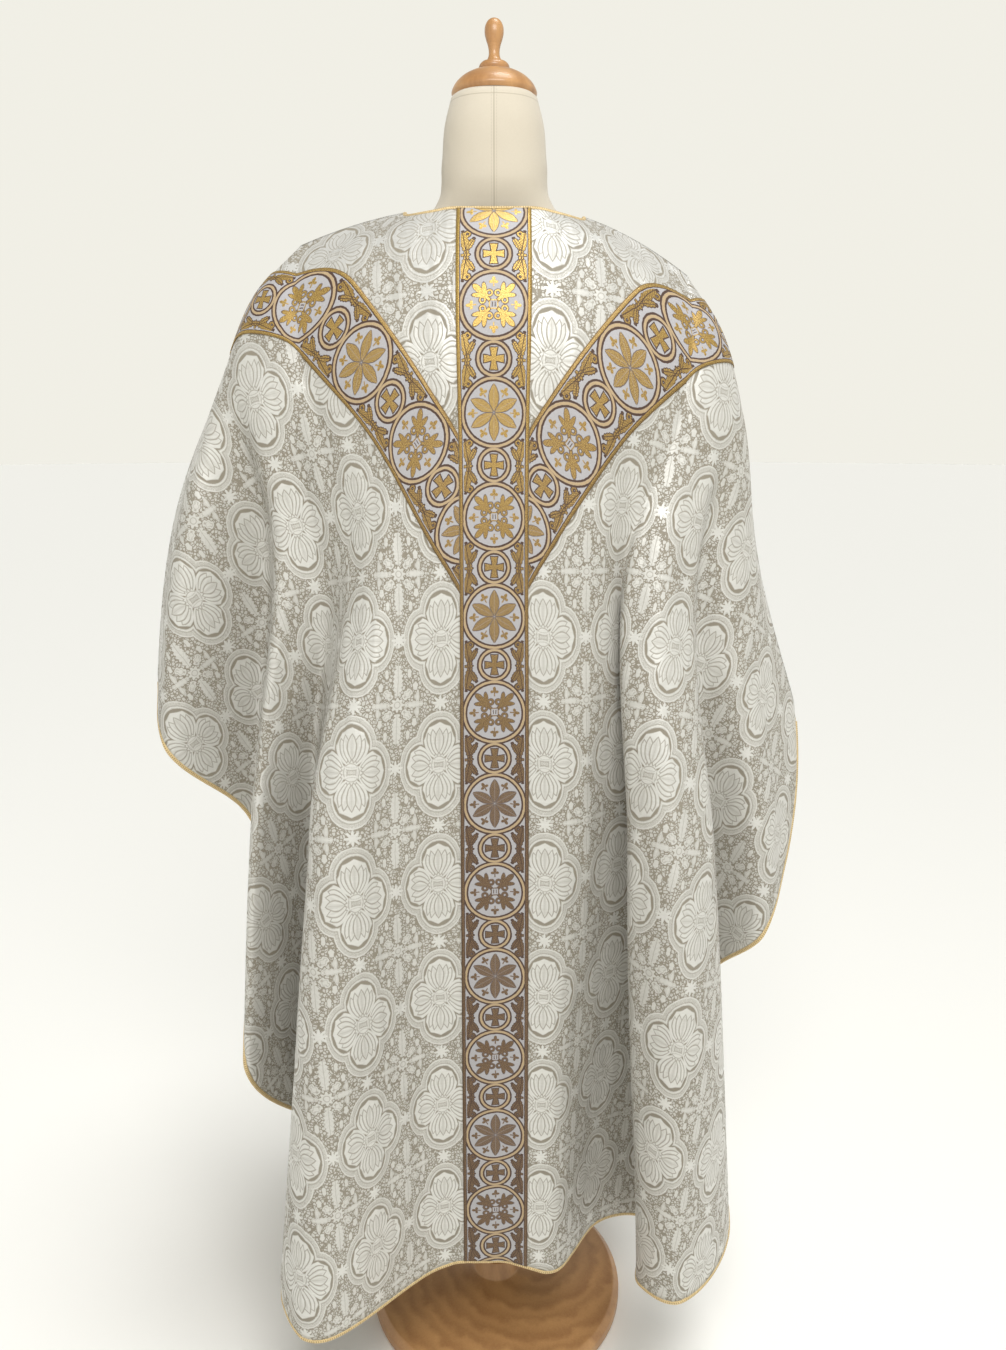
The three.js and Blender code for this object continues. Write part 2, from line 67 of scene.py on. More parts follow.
# One row for each fold line, in mm: place across, cut length, then x and y at the chest, hip and hem.
BACK_FOLDS = [
    (fan(-62), 588, -402, 6, -466, 18, -520, 30),
    (fan(-51), 640, -372, -62, -425, -78, -470, -90),
    (fan(-36), 790, -288, -28, -318, -8, -340, 10),
    (fan(-24), 1050, -258, -86, -292, -132, -338, -150),
    (fan(-16), 1210, -216, -84, -238, -60, -256, -40),
    (fan(-4), 1328, -170, -118, -205, -210, -266, -252),
    (-190, 1356, -146, -136, -168, -216, -205, -292),
    (-107, 1392, -97, -149, -104, -176, -111, -198),
    (-92, 1398, -85, -151, -90, -169, -95, -183),
    (0, 1408, 0, -153, 0, -160, 0, -168),
    (92, 1406, 85, -149, 90, -154, 92, -152),
    (107, 1396, 98, -147, 104, -149, 105, -134),
    (140, 1366, 124, -138, 134, -128, 139, -92),
    (195, 1345, 151, -110, 180, -94, 212, -60),
    (fan(4), 1314, 168, -118, 167, -172, 190, -190),
    (fan(8), 1300, 198, -124, 212, -208, 236, -234),
    (fan(13), 1268, 231, -106, 262, -164, 317, -148),
    (fan(21), 950, 250, -66, 270, -62, 292, -30),
    (fan(28), 836, 286, -62, 336, -96, 360, -110),
    (fan(35), 758, 320, -36, 380, -46, 400, -52),
    (fan(43), 566, 336, 6, 436, 18, 446, 30),
]
FRONT_FOLDS = [
    (fan(-62), 588, -402, 6, -466, 18, -520, 30),
    (fan(-50), 650, -368, 70, -418, 92, -450, 110),
    (fan(-36), 800, -292, 44, -312, 30, -330, 20),
    (fan(-24), 1060, -250, 100, -280, 140, -320, 160),
    (fan(-15), 1220, -212, 98, -226, 84, -246, 70),
    (fan(-5), 1300, -168, 128, -196, 196, -240, 235),
    (-107, 1336, -96, 151, -102, 172, -108, 190),
    (-92, 1338, -84, 152, -89, 171, -93, 187),
    (0, 1340, 0, 156, 0, 170, 0, 180),
    (92, 1338, 84, 152, 89, 170, 93, 184),
    (107, 1336, 96, 151, 102, 170, 109, 186),
    (180, 1322, 150, 128, 168, 120, 180, 104),
    (fan(5), 1300, 184, 124, 206, 186, 236, 222),
    (fan(16), 1180, 228, 92, 248, 80, 272, 56),
    (fan(25), 940, 272, 78, 322, 104, 352, 120),
    (fan(34), 780, 308, 44, 380, 62, 400, 70),
    (fan(43), 566, 336, 6, 436, 18, 446, 30),
]
LEVELS = [0, 80, 180, 350, 700, 1300]  # distances down a fold line at which its place is known
FORWARD = 16  # the rows' y is measured from a plane this far in front of the stand's middle


def smooth(at, rows, where):
    """A smooth curve through rows of numbers at the places `at`, read at each of `where`."""
    at, rows = np.asarray(at, float), np.asarray(rows, float)
    x = np.clip(where, at[0], at[-1])
    i = np.clip(np.searchsorted(at, x, side="right") - 1, 0, len(at) - 2)
    step = np.diff(at)[:, None]
    slope = np.diff(rows, axis=0) / step
    inner = (slope[:-1] * step[1:] + slope[1:] * step[:-1]) / (step[1:] + step[:-1])
    tangent = np.vstack([slope[:1], inner, slope[-1:]])
    h = step[i]
    s = (x - at[i])[:, None] / h
    return (
        (2 * s**3 - 3 * s**2 + 1) * rows[i]
        + (s**3 - 2 * s**2 + s) * h * tangent[i]
        + (3 * s**2 - 2 * s**3) * rows[i + 1]
        + (s**3 - s**2) * h * tangent[i + 1]
    )


def over_shoulder(a, reach, side):
    """x and y at the first three levels, where the cloth lies over the shoulder."""
    hand, flare = copysign(1, a), FLARE[a > 0]
    if abs(a) <= SHOULDER_HALF:
        k = (a / SHOULDER_HALF) ** 2
        near, far = side * (76 - 26 * k), side * (122 - 48 * k)
        return [(a, SEAM_Y), (a, SEAM_Y + near), (a * (1 - 0.06 * k), SEAM_Y + far)]
    turn = (abs(a) - SHOULDER_HALF) / (reach - SHOULDER_HALF) * pi / 2
    out, off = flare * sin(turn), side * cos(turn)
    return [
        (hand * SHOULDER_HALF, SEAM_Y),
        (hand * (SHOULDER_HALF + 56 * out), SEAM_Y + 50 * off),
        (hand * (0.94 * SHOULDER_HALF + 113 * out), SEAM_Y + 74 * off),
    ]


def unit(vectors):
    length = np.linalg.norm(vectors, axis=-1, keepdims=True)
    return vectors / np.where(length < 1e-12, 1, length)


class Drape:
    """A hanging panel as a table of points: lines across it, and steps down each line."""

    LINES, STEPS = 901, 504

    def __init__(self, folds, side, creases):
        keys = np.array([row[0] for row in folds])
        self.side, self.first, self.last = side, keys[0], keys[-1]
        self.a = np.linspace(keys[0], keys[-1], self.LINES)
        rows = smooth(keys, [row[1:] for row in folds], self.a)
        self.cut = rows[:, 0]
        points = np.zeros((self.LINES, self.STEPS + 1, 3))
        for n, (a, row) in enumerate(zip(self.a, rows)):
            reach = abs(keys[0] if a < 0 else keys[-1])
            below = row[1:7].reshape(3, 2) + (0, FORWARD)
            route = [*over_shoulder(a, reach, side), *below]
            down = np.linspace(0, row[0], self.STEPS + 1)
            run = smooth(LEVELS, route, down)
            beyond = max(min(abs(a), SHOULDER_HALF) - LEVEL_TOP, 0) / (SHOULDER_HALF - LEVEL_TOP)
            drop = SHOULDER_DROP[a > 0] * beyond**1.8
            step = row[0] / self.STEPS
            fall = np.sqrt(np.maximum(step**2 - (np.diff(run, axis=0) ** 2).sum(1), 0))
            points[n, :, :2] = run
            points[n, 1:, 2] = -np.cumsum(fall)
            points[n, :, 2] += COLLAR_Z - drop
        self.points = points
        self.normals = self.facing()
        down = np.linspace(0, 1, self.STEPS + 1)[None] * self.cut[:, None]
        u, v = flat_place(np.broadcast_to(self.a[:, None], down.shape), down)
        raised = sum(crease(u, v, *values) for values in creases)
        self.points = points + self.normals * (raised * np.clip(down / 60, 0, 1))[..., None]
        self.normals = self.facing()
        self.cloth = self.laid_flat(np.stack([u, v], -1))

    def laid_flat(self, guess):
        """Flat places, in mm, of the whole table: triangles on a part of its lines are turned
        and joined in the plane, over and over, until each keeps its shape as nearly as it can."""
        skip, step = 15, 21
        points, flat = self.points[::skip, ::step], guess[::skip, ::step]
        lines, steps = points.shape[:2]
        keys = np.round(points.reshape(-1, 3), 3)
        _, first, number = np.unique(keys, axis=0, return_index=True, return_inverse=True)
        number = number.ravel()
        grid = np.arange(lines * steps).reshape(lines, steps)
        a, b, c, d = grid[:-1, :-1], grid[1:, :-1], grid[1:, 1:], grid[:-1, 1:]
        faces = np.concatenate([np.stack(f, -1).reshape(-1, 3) for f in ((a, b, c), (a, c, d))])
        solid, place = points.reshape(-1, 3)[first], flat.reshape(-1, 2)[first]
        faces = number[faces]
        faces = faces[(faces != np.roll(faces, 1, 1)).all(1)]
        p0, p1, p2 = (solid[faces[:, k]] for k in range(3))
        along = unit(p1 - p0)
        x2 = ((p2 - p0) * along).sum(1)
        y2 = np.linalg.norm(p2 - p0 - along * x2[:, None], axis=1)
        size = np.linalg.norm(p1 - p0, axis=1)
        own = np.zeros((len(faces), 3, 2))  # each triangle in its own plane
        own[:, 1, 0], own[:, 2, 0], own[:, 2, 1] = size, x2, y2
        turned_way = np.linalg.det(place[faces[:, 1:]] - place[faces[:, :1]]).sum()
        own[:, :, 1] *= np.sign(turned_way)
        count = len(solid)
        matrix = np.zeros((count, count))
        edges = []
        for k in range(3):
            i, j, m = faces[:, k], faces[:, (k + 1) % 3], (k + 2) % 3
            e, f = own[:, k] - own[:, m], own[:, (k + 1) % 3] - own[:, m]
            cot = (e * f).sum(1) / np.maximum(np.abs(e[:, 0] * f[:, 1] - e[:, 1] * f[:, 0]), 1e-6)
            cot = np.clip(cot, 0.05, 20)
            edges.append((i, j, cot, own[:, k] - own[:, (k + 1) % 3]))
            for row, column, weight in ((i, i, cot), (j, j, cot), (i, j, -cot), (j, i, -cot)):
                np.add.at(matrix, (row, column), weight)
        # The middle line stays straight and upright.
        middle = number.reshape(lines, steps)[np.argmin(np.abs(self.a[::skip]))]
        held = np.zeros((count, 1))
        held[middle] = 1e4
        inverse = np.linalg.inv(matrix + np.diag(held[:, 0]))
        anchor = place.copy()
        for _ in range(30):
            spin_c, spin_s = np.zeros(len(faces)), np.zeros(len(faces))
            for i, j, cot, run in edges:
                now = place[i] - place[j]
                spin_c += cot * (now * run).sum(1)
                spin_s += cot * (now[:, 1] * run[:, 0] - now[:, 0] * run[:, 1])
            length = np.hypot(spin_c, spin_s)
            spin_c, spin_s = spin_c / length, spin_s / length
            pull = held * anchor
            for i, j, cot, run in edges:
                x, y = run.T
                moved = np.stack([x * spin_c - y * spin_s, x * spin_s + y * spin_c], 1)
                moved *= cot[:, None]
                np.add.at(pull, i, moved)
                np.add.at(pull, j, -moved)
            place = inverse @ pull
        shift = (place[number] - flat.reshape(-1, 2)).reshape(lines, steps * 2)
        shift = smooth(self.a[::skip], shift, self.a).reshape(self.LINES, steps, 2)
        shift = np.swapaxes(shift, 0, 1).reshape(steps, -1)
        shift = smooth(np.arange(steps) * step, shift, np.arange(self.STEPS + 1))
        return guess + np.swapaxes(shift.reshape(self.STEPS + 1, self.LINES, 2), 0, 1)

    def facing(self):
        run = np.gradient(self.points, axis=0)
        fall = np.gradient(self.points, axis=1)
        normal = np.cross(fall, run) * -self.side
        normal[np.abs(self.a) >= SHOULDER_HALF, 0] = (0.5, 0, 0.87)
        normal[self.a <= -SHOULDER_HALF, 0, 0] = -0.5
        normal[:, 0, 1] = 0
        normal[0, :, 1] = normal[-1, :, 1] = 0
        return unit(normal)

    def read(self, a, t, lift=0.0):
        """Points in metres at places a across and t down, raised by lift mm, and their normals."""
        a, t = np.broadcast_arrays(np.asarray(a, float), np.asarray(t, float))
        x = np.clip((a - self.first) / (self.last - self.first), 0, 1) * (self.LINES - 1)
        i = np.minimum(x.astype(int), self.LINES - 2)
        f = (x - i)[..., None]
        cut = self.cut[i] * (1 - f[..., 0]) + self.cut[i + 1] * f[..., 0]
        y = np.clip(t / cut, 0, 1) * self.STEPS
        j = np.minimum(y.astype(int), self.STEPS - 1)
        g = (y - j)[..., None]

        def blend(table):
            near = table[i, j] * (1 - g) + table[i, j + 1] * g
            far = table[i + 1, j] * (1 - g) + table[i + 1, j + 1] * g
            return near * (1 - f) + far * f

        normal = unit(blend(self.normals))
        return (blend(self.points) + normal * lift) * MM, normal, blend(self.cloth) * MM

    def edge(self, a):
        return np.interp(a, self.a, self.cut)


def flat_place(a, t):
    """Where a point lies on the flat cloth: upright strips, and fans beyond the shoulder tips."""
    beyond = np.maximum(np.abs(a) - SHOULDER_HALF, 0)
    angle = beyond / FAN_REACH
    across = np.sign(a) * (np.minimum(np.abs(a), SHOULDER_HALF) + t * np.sin(angle))
    return across, -t * np.cos(angle)


def from_flat(u, v):
    """The place across and the distance down of a point on the flat cloth."""
    beyond = np.maximum(np.abs(u) - SHOULDER_HALF, 0)
    angle = np.arctan2(beyond, -v)
    a = np.sign(u) * (np.minimum(np.abs(u), SHOULDER_HALF) + angle * FAN_REACH)
    return a, np.where(beyond > 0, np.hypot(beyond, v), -v)


def crease(u, v, u0, v0, u1, v1, width, depth):
    """A soft ridge (or valley, where depth is negative) from one flat place to another, in mm."""
    run = np.array([u1 - u0, v1 - v0])
    s = np.clip(((u - u0) * run[0] + (v - v0) * run[1]) / (run @ run), 0, 1)
    far = np.hypot(u - u0 - s * run[0], v - v0 - s * run[1])
    return depth * np.exp(-((far / width) ** 2)) * np.sin(np.pi * np.clip(s, 0.02, 0.98)) ** 0.5


# Small creases, each from one flat place to another with its half width and height, in mm.
BACK_CREASES = [
    (-60, -230, -75, -620, 26, 2.0),
    (70, -240, 84, -700, 24, -2.2),
    (-150, -330, -170, -900, 18, 3.0),
    (140, -420, 150, -1000, 20, -3.0),
    (-300, -300, -420, -560, 26, 5.0),
    (-380, -420, -520, -620, 22, -4.5),
    (-262, -420, -330, -980, 18, 4.0),
    (-300, -700, -360, -1080, 20, -4.0),
    (300, -260, 420, -560, 22, 4.0),
    (280, -420, 372, -820, 18, -4.0),
    (250, -500, 300, -1100, 18, 4.0),
    (-240, -180, -330, -330, 16, -3.0),
    (236, -170, 300, -320, 16, -3.0),
    (0, -900, 0, -1390, 40, 1.5),
]
FRONT_CREASES = [
    (-62, -260, -80, -640, 26, 2.0),
    (66, -260, 80, -680, 24, -2.0),
    (-150, -360, -176, -900, 18, 3.0),
    (146, -400, 160, -1000, 20, -3.0),
    (-310, -320, -430, -580, 24, 5.0),
    (310, -280, 420, -560, 22, 4.0),
    (-280, -500, -340, -1000, 18, -4.0),
    (262, -520, 310, -1050, 18, 4.0),
]


def across_places(drape, inside, outside):
    """Columns of a panel: even along the neckline's curve, then even out to each wing."""
    neck = NECK_HALF * np.sin(np.linspace(-pi / 2, pi / 2, inside + 1))
    left = np.linspace(drape.first, -NECK_HALF, outside[0], endpoint=False)
    right = np.linspace(NECK_HALF, drape.last, outside[1] + 1)[1:]
    return np.concatenate([left, neck, right])


def add_object(name, data):
    item = bpy.data.objects.new(name, data)
    bpy.context.scene.collection.objects.link(item)
    return item


def make_mesh(name, points, faces, places=None, layer="cloth"):
    """A new smooth-shaded object from points and faces, with one flat place in metres per point."""
    mesh = bpy.data.meshes.new(name)
    mesh.from_pydata([tuple(p) for p in points], [], [tuple(int(k) for k in f) for f in faces])
    if places is not None:
        corner = np.zeros(len(mesh.loops), np.int32)
        mesh.loops.foreach_get("vertex_index", corner)
        uv = np.asarray(places, np.float32)[corner].ravel()
        mesh.uv_layers.new(name=layer).data.foreach_set("uv", uv)
    mesh.shade_smooth()
    piece = add_object(name, mesh)
    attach(piece, "root")
    return piece


def grid_faces(columns, rows, flip):
    """Quads of a grid whose points run down each column, turned to face out."""
    i, j = np.meshgrid(np.arange(columns - 1), np.arange(rows - 1), indexing="ij")
    a = (i * rows + j).ravel()
    faces = np.stack([a, a + 1, a + rows + 1, a + rows], 1)
    return faces[:, ::-1] if flip else faces


def shell(name, drape, a, t, low, high, uv, layer="cloth"):
    """A thin closed sheet on the drape between two lifts in mm; a and t are grids of places."""
    columns, rows = a.shape
    outer, _, cloth = drape.read(a, t, high)
    inner = drape.read(a, t, low)[0]
    uv = cloth.reshape(-1, 2) if uv is None else uv
    faces = grid_faces(columns, rows, drape.side > 0)
    count = columns * rows
    index = np.arange(count).reshape(columns, rows)
    rim = np.concatenate([index[:, 0], index[-1, 1:], index[-2::-1, -1], index[0, -2:0:-1]])
    after = np.roll(rim, -1)
    walls = np.stack([rim, after, after + count, rim + count], 1)
    if drape.side > 0:
        walls = walls[:, ::-1]
    points = np.concatenate([outer.reshape(-1, 3), inner.reshape(-1, 3)])
    every = np.concatenate([faces, faces[:, ::-1] + count, walls])
    piece = make_mesh(name, points, every, np.concatenate([uv, uv]), layer)
    tidy = bmesh.new()
    tidy.from_mesh(piece.data)
    bmesh.ops.remove_doubles(tidy, verts=tidy.verts, dist=1e-6)
    bmesh.ops.dissolve_degenerate(tidy, edges=tidy.edges, dist=1e-7)
    tidy.to_mesh(piece.data)
    tidy.free()
    return piece


BACK = Drape(BACK_FOLDS, -1, BACK_CREASES)
FRONT = Drape(FRONT_FOLDS, 1, FRONT_CREASES)
PANEL_ROWS = 210
ROWS_CLOSER = 1.12  # the rows lie closer near the neckline
HALF_WALL = WALL / MM / 2


def hang_panel(name, node, drape, neck_depth, inside, outside):
    a = across_places(drape, inside, outside)
    cut = drape.edge(a)
    depth = neck_depth * np.sqrt(np.clip(1 - (a / NECK_HALF) ** 2, 0, 1))
    down = np.linspace(0, 1, PANEL_ROWS)[None] ** ROWS_CLOSER
    t = depth[:, None] + (cut - depth)[:, None] * down
    a = np.broadcast_to(a[:, None], t.shape)
    cloth = shell(name, drape, a, t, -HALF_WALL, HALF_WALL, None)
    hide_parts(node)
    return cloth


def flat_area(piece):
    """Half the area that a shell's map covers: the cloth that was cut for it."""
    layer = piece.data.uv_layers[0].data
    total = 0
    for face in piece.data.polygons:
        ring = [layer[k].uv for k in face.loop_indices]
        total += abs(sum(p.cross(q) for p, q in zip(ring, ring[1:] + ring[:1]))) / 2
    return total / 2


back_cloth = hang_panel("back_cloth", "back_panel", BACK, BACK_NECK, 40, (104, 76))
front_cloth = hang_panel("front_cloth", "front_panel", FRONT, FRONT_NECK, 40, (100, 72))


class Wire:
    """One output of a material's nodes. Sums on it add Math nodes; node() adds any other kind."""

    def __init__(self, socket):
        self.socket = socket

    def node(self, kind, values, out=0, **settings):
        made = self.socket.id_data.nodes.new("ShaderNode" + kind)
        for key, value in settings.items():
            setattr(made, key, value)
        if isinstance(values, tuple):
            values = dict(enumerate(values))
        for key, value in values.items():
            if isinstance(value, Wire):
                made.id_data.links.new(value.socket, made.inputs[key])
            else:
                made.inputs[key].default_value = value
        return Wire(made.outputs[out])

    def maths(self, operation, *others, **settings):
        return self.node("Math", (self, *others), operation=operation, **settings)

    def __rsub__(self, other):
        return self.node("Math", (other, self), operation="SUBTRACT")

    __add__ = __radd__ = partialmethod(maths, "ADD")
    __sub__ = partialmethod(maths, "SUBTRACT")
    __mul__ = __rmul__ = partialmethod(maths, "MULTIPLY")
    __truediv__ = partialmethod(maths, "DIVIDE")
    __abs__ = partialmethod(maths, "ABSOLUTE")
    least, most = partialmethod(maths, "MINIMUM"), partialmethod(maths, "MAXIMUM")
    sine, cosine = partialmethod(maths, "SINE"), partialmethod(maths, "COSINE")
    angle = partialmethod(maths, "ARCTAN2")

    def fold(self, half):
        """The way to the nearest multiple of twice `half`, so what it draws is mirrored there."""
        return self.maths("PINGPONG", half)

    def scaled(self, by):
        return self.node("VectorMath", (self, by), operation="MULTIPLY")

    def bump(self, strength, distance, **more):
        values = {"Strength": strength, "Distance": distance, "Height": self, **more}
        return self.node("Bump", values)


def new_material(name, layer):
    """A material, its shader, and a wire with the piece's own map (or its Object coordinates)."""
    material = bpy.data.materials.new(name)
    material.use_nodes = True
    nodes = material.node_tree.nodes
    source = nodes.new("ShaderNodeUVMap" if layer else "ShaderNodeTexCoord")
    if layer:
        source.uv_map = layer
    place = Wire(source.outputs["UV" if layer else "Object"])
    return material, nodes["Principled BSDF"], place


def feed(shader, **inputs):
    """Sets or links the shader's sockets; an underscore stands for a space in a socket's name."""
    for key, value in inputs.items():
        socket = shader.inputs[key.replace("_", " ")]
        if isinstance(value, Wire):
            socket.id_data.links.new(value.socket, socket)
        else:
            socket.default_value = value


def mix(share, low, high):
    return share.node("Mix", {0: share, 6: low, 7: high}, out=2, data_type="RGBA")


def inside(distance, blur=0.5):
    """1 where a distance is under 0 and 0 where it is over, with an edge `blur` wide."""
    return distance.maths("MULTIPLY_ADD", -1 / blur, 0.5, use_clamp=True)


def stroke(distance, half, blur=0.4):
    return inside(abs(distance) - half, blur)


def parts(vector):
    """The x, y and z of a vector."""
    split = vector.node("SeparateXYZ", (vector,))
    return [Wire(part) for part in split.socket.node.outputs]


def reach(x, y):
    """Length of the vector (x, y)."""
    pair = x.node("CombineXYZ", (x, y))
    return pair.node("VectorMath", (pair,), out=1, operation="LENGTH")


def oval(x, y, rx, ry):
    """Distance outside an oval of the half widths rx and ry about 0."""
    return (reach(x * (1 / rx), y * (1 / ry)) - 1) * ((rx + ry) / 2)


def turned(x, y, degrees):
    c, s = cos(radians(degrees)), sin(radians(degrees))
    return x * c + y * s, y * c - x * s


def grain(place, scale, detail=2.0, rough=0.5, stretch=(1, 1, 1)):
    """Noise from 0 to 1 at `scale` cells per metre, stretched where asked."""
    if stretch != (1, 1, 1):
        place = place.scaled(stretch)
    values = {"Vector": place, "Scale": scale, "Detail": detail, "Roughness": rough}
    return place.node("TexNoise", values)


def shaken(vector, place, scale, detail, far):
    """A vector in mm, moved up to half of `far` in each direction, as threads wander in a weave."""
    shake = place.node("TexNoise", {"Vector": place, "Scale": scale, "Detail": detail}, out=1)
    shake = shake.node("VectorMath", (shake, (0.5, 0.5, 0.5)), operation="SUBTRACT")
    return vector.node("VectorMath", (vector, shake.scaled((far, far, 0))), operation="ADD")


# The damask's figure repeats every 107 by 153 mm and is turned over at the panel's middle: rows of
# four-lobed medallions with a flower in each lobe, and a star of leaves in each space between.
REPEAT = (107, 153)
FIRST_MEDALLION = (63, -100)  # across, and down from the shoulder seam's level
damask, shader, place = new_material("figured_damask", "cloth")
flat = shaken(place.scaled((1000, 1000, 1000)), place, 90.0, 3.0, 2.0)
u, v, _ = parts(flat)
half_x, half_y = REPEAT[0] / 2, REPEAT[1] / 2
x = (abs(u + 4) - FIRST_MEDALLION[0]).fold(half_x)
y = (v - FIRST_MEDALLION[1]).fold(half_y)

# Lobes of the medallion. Each is nearly filled by a flower drawn in its own half widths.
top = oval(x, y - 31, 20, 25)
side = oval(x - 24, y, 16.5, 26)
lobes = top.least(side)
by_side = inside(side - top, 0.4)
top_across, top_out = x / 18.6, (y - 29.4) / 22.6
across = top_across + (y / 23.8 - top_across) * by_side
out = top_out + ((x - 22.6) / 15.6 - top_out) * by_side
angle = across.angle(out + 1.25)
fringe = abs((angle * 9.5).sine()) * 0.085
rose = reach(across, out) - 1.03 + fringe


def petal(middle, half, low, long):
    """Distance outside a pointed petal whose middle line is `middle` away, from its foot at `low`."""
    along = (out - low - long / 2) / (long / 2)
    return abs(middle) - half * (1 - along * along)


bud = petal(across, 0.27, -0.66, 1.36)
inner_petal = petal(across - 0.30 - out * 0.24, 0.26, -0.80, 1.44)
outer_petal = petal(across - 0.57 - out * 0.36, 0.25, -0.80, 1.26)
veins = stroke(bud, 0.032, 0.05).most(stroke(across, 0.012, 0.04) * inside(bud + 0.08, 0.05) * 0.6)
past_bud, past_inner = inside(0 - bud, 0.03), inside(0 - inner_petal, 0.03)
veins = veins.most(stroke(inner_petal, 0.032, 0.05) * past_bud)
veins = veins.most(stroke(outer_petal, 0.032, 0.05) * past_inner * past_bud)
hatching = (angle * 34).sine().maths("MULTIPLY_ADD", 0.5, 0.5)
hatching = hatching * inside(rose + 0.42, 0.3)
in_lobe = inside(rose, 0.06) * (1 - veins * 0.8) * (1 - hatching * 0.22)
centre = oval(x, y, 9.5, 11.5)
core = oval(x, y, 4.2, 5.2)
petals = stroke(x - y * 0.86, 0.3, 0.7) * inside(0 - core)
in_centre = (1 - stroke(core, 0.4, 0.7) * 0.7) * (1 - petals * 0.5)
in_centre = in_centre * (1 - stroke(centre + 0.8, 0.45, 0.7) * 0.8)
medallion = in_lobe + (in_centre - in_lobe) * inside(centre, 0.8)

# Leaves round the star in the space between four medallions.
p, q = half_x - x, half_y - y
cells = {"Vector": flat, "Scale": 0.25, "Randomness": 0.9}
swirl = flat.node("TexVoronoi", cells, feature="DISTANCE_TO_EDGE")
leafy = inside(0.11 - swirl, 0.06)
star_r = reach(p, q)
star_turn = p.angle(q)
eight = (star_turn * 8).cosine()
star = star_r - 7.6 - eight * 1.5
ring = stroke(star_r - 3.6, 0.45, 0.7)
tooth = (q * 1.15).sine() * 1.3 + (q * 2.9).sine() * 0.5
blade = oval(p, q - 29, 5.8, 19) - tooth * 1.3
rib = stroke(p, 0.3, 0.6).most(stroke((q - p * 1.4).fold(4), 0.25, 0.8) * 0.5)
palm = oval(p - 21, q, 13.5, 3.8).least(oval(p - 25, q - 9, 3.4, 7))
palm = palm - (p * 1.3).sine() * 1.2
slant_p, slant_q = turned(p, q, 45)
drop = oval(slant_p - 17.5, slant_q, 7.6, 4.8) - (slant_p * 1.2).sine() * 0.8
sprig = oval(p - 14.5, q - 37, 2.4, 6.5).least(oval(p - 22, q - 22, 3.0, 5.2)) - tooth * 0.4
spray = star.least(blade).least(palm).least(drop).least(sprig)
inner = ring.most(rib * inside(blade + 1, 0.8))
inner = inner.most(stroke(drop + 2.6, 0.35, 0.7)).most(stroke(palm + 2.2, 0.3, 0.7))
between = inside(spray, 0.9) * (0.86 - inner * 0.55)
between = between.most(leafy * 0.74 * inside(1.2 - spray, 0.8))

# The link stars, where two medallions meet.
def link(dx, dy):
    around = (dx.angle(dy) * 8).cosine()
    return reach(dx, dy) - 7.2 - around * 2.6


links = link(x, half_y - y).least(link(half_x - x, y))
leaf_marks = stroke((x + y * 1.1 + swirl * 18).fold(3.4) - 1.7, 0.8, 0.9)
frame_band = 0.46 + leaf_marks * 0.42
figure = between + (frame_band - between) * inside(lobes - 8.2, 0.7)
figure = figure.most(stroke(lobes - 8.4, 0.75, 0.7)).most(stroke(lobes - 1.6, 0.85, 0.7))
figure = figure * (1 - stroke(lobes - 3.4, 0.4, 0.7) * 0.6)
figure = figure * (1 - stroke(lobes - 10.2, 0.6, 0.7) * 0.5)
figure = figure + (medallion - figure) * inside(lobes, 0.7)
figure = figure.most(inside(links, 0.8) * (1 - ring))

# Satin figure on a matt ground, in three ivory tones, with the threads and a faint slub. The threads'
# fine noise also paints a glitter of satin highlights into the figure's tone.
thread_with_painted_light = grain(place, 900.0, 1.0, stretch=(1, 3.2, 1))
slub = grain(place, 160.0, 2.0, stretch=(0.3, 3, 1))
cloudy = grain(place, 7.0, 2.0)
figure = figure * (0.72 + 0.30 * thread_with_painted_light)
ground_colour = mix(cloudy, (0.215, 0.19, 0.145, 1), (0.27, 0.243, 0.192, 1))
figure_colour = mix(slub, (0.62, 0.615, 0.58, 1), (0.76, 0.757, 0.73, 1))
ribs = (u * 6.2).sine() * 0.5 + (v * 5.0).sine() * 0.5
height = figure * 0.9 + ribs * 0.10 + slub * 0.35
# The soft rumples that a heavy silk keeps between its folds.
rumple = grain(place, 15.0, 3.0, 0.5, (1.5, 0.55, 1))
rumple = rumple.bump(1.0, 0.0075)
feed(
    shader,
    Base_Color=mix(figure, ground_colour, figure_colour),
    Metallic=figure * 0.38,
    Roughness=0.58 - figure * 0.25 + slub * 0.08,
    Sheen_Weight=0.1,
    Sheen_Roughness=0.4,
    Normal=height.bump(0.55, 0.0006, Normal=rumple),
)
back_cloth.data.materials.append(damask)
front_cloth.data.materials.append(damask)


# ---- The orphrey ----
# Woven galloon, 82 mm wide, with gold roundels on a white ground. One length runs down the middle of
# each panel, and two more are sewn beside it and turned over the shoulders, eased round at the top.
GALLOON_HALF = 41
GALLOON_WALL = 1.0
GALLOON_LINES = 25
LAY = HALF_WALL + 0.3
EASE = 90  # radius in mm of the turn at the shoulder
ARM_EASE = 1.035  # an arm is pressed that much shorter as it is sewn down


def galloon_column(name, drape, depth):
    across = np.linspace(-GALLOON_HALF, GALLOON_HALF, GALLOON_LINES)
    start = depth * np.sqrt(1 - (across / NECK_HALF) ** 2)
    cut = drape.edge(across)
    down = np.linspace(0, 1, 420)[None]
    t = start[:, None] + (cut - start)[:, None] * down
    a = np.broadcast_to(across[:, None], t.shape)
    uv = np.stack([a, t], -1).reshape(-1, 2) * MM
    return shell(name, drape, a, t, LAY, LAY + GALLOON_WALL, uv, "galloon")


